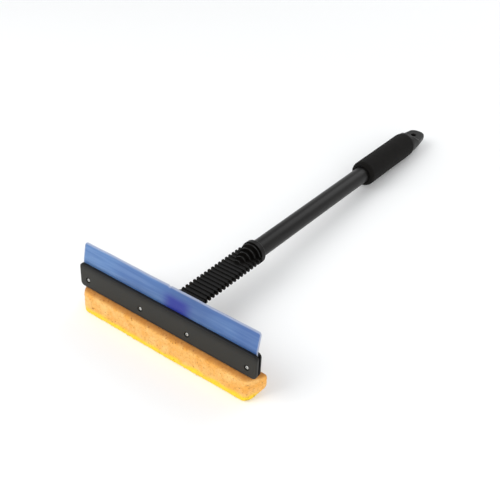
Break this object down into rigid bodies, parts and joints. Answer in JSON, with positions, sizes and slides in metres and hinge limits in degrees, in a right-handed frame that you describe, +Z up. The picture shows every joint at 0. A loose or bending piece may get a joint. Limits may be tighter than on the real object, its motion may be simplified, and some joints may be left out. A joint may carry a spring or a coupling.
{
  "type": "squeegee sponge window washer",
  "caption": "Hand window washer: a rubber squeegee blade and a cellulose sponge clamped to one bar, a ribbed moulded neck, a straight tube handle with a foam grip and a hanging tongue.",
  "frame": {"origin": "Middle of the footprint on the surface the tool lies on: it rests on the sponge's underside and the rear end of the foam grip.", "axes": "+Y along the handle from the head towards the hanging tongue, +X along the head, +Z up, from the sponge to the squeegee blade. The handle's axis dips by 3.18 degrees towards the grip."},
  "size_m": [0.2402, 0.5674, 0.083],
  "materials": {
    "bar_plastic": "satin",
    "blade_rubber": "smooth, slightly translucent",
    "strip_plastic": "matt",
    "sponge_cellulose": "porous, matt",
    "head_plastic": "satin",
    "screw_steel": "bright plated",
    "tube_paint": "satin",
    "grip_foam": "closed-cell foam, matt",
    "cap_plastic": "satin"
  },
  "bodies": {
    "root": {"front_clamp_bar": "bar_plastic", "squeegee_blade": "blade_rubber", "sponge_carrier_strip": "strip_plastic", "sponge": "sponge_cellulose", "rear_head_moulding": "head_plastic", "clamp_screws": "screw_steel", "handle_tube": "tube_paint", "tube_lock_screw": "screw_steel", "foam_grip": "grip_foam", "hanging_end_cap": "cap_plastic"}
  },
  "joints": []
}
